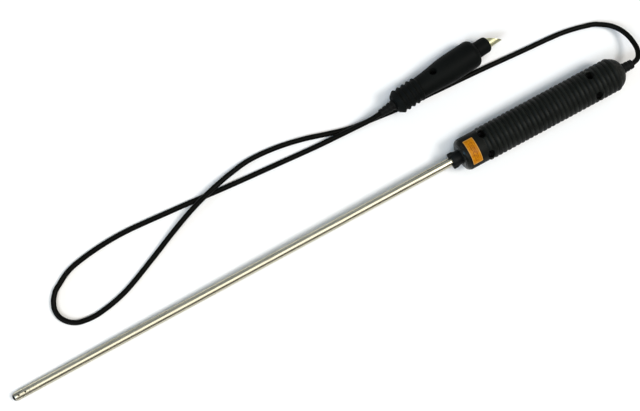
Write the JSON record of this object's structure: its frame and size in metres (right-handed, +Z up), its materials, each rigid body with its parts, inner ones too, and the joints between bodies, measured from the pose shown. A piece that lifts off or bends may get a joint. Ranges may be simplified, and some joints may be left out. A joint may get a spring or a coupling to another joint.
{
  "type": "grain lance probe",
  "caption": "Straight steel lance probe with sensor tip, clamp nut, ribbed clamshell handle, flexible lead and round plug, for a grain moisture meter.",
  "frame": {"origin": "bottom centre of the box around the probe itself (tube, handle and rear boot), on the surface it lies on", "axes": "+X along the probe from tip to lead, in plan; +Z up; the lead and plug lie on the +Y side"},
  "size_m": [0.6413, 0.1061, 0.0354],
  "materials": {
    "steel": "bright drawn tube",
    "plated": "nickel plated",
    "contact_gold": "gold plated",
    "zinc_screw": "blackened",
    "brass": "turned",
    "handle_plastic": "fine texture",
    "nose_plastic": "satin",
    "plug_plastic": "satin",
    "rubber": "matte",
    "cable_jacket": "smooth jacket",
    "label": "printed film",
    "board": "solder resist",
    "chip": "moulded",
    "white_plastic": "moulded"
  },
  "bodies": {
    "root": {"probe_tube": "steel", "tip_plug": "nose_plastic", "sensor_board": "board", "sensor_element": "white_plastic", "tube_seal": "rubber", "inner_lead": "cable_jacket", "tube_collet": "brass", "nose_bush": "brass", "tube_anchor": "nose_plastic", "handle_upper_shell": "handle_plastic", "handle_lower_shell": "handle_plastic", "label_plate": "label", "handle_screw_front_left": "zinc_screw", "handle_screw_front_right": "zinc_screw", "handle_screw_rear_left": "zinc_screw", "handle_screw_rear_right": "zinc_screw", "handle_board": "board", "lead_socket": "white_plastic", "signal_chip": "chip", "terminal_block": "white_plastic", "cable_grip": "nose_plastic", "rear_boot": "rubber", "probe_cable": "cable_jacket", "plug_boot": "rubber", "plug_cable_grip": "brass", "plug_upper_shell": "plug_plastic", "plug_lower_shell": "plug_plastic", "plug_screw": "zinc_screw", "plug_nose": "plug_plastic", "plug_contact_shell": "plated", "contact_insert": "white_plastic", "contact_pin_1": "contact_gold", "contact_pin_2": "contact_gold", "contact_pin_3": "contact_gold", "contact_pin_4": "contact_gold"},
    "nut": {"clamp_nut": "nose_plastic"}
  },
  "joints": [
    {"name": "clamp_nut_turn", "type": "hinge", "parent": "root", "child": "nut", "pos_m": [0.13145, 0, 0.01534], "axis": [-0.9997, 0, -0.0257], "range_deg": [0, 90]}
  ]
}
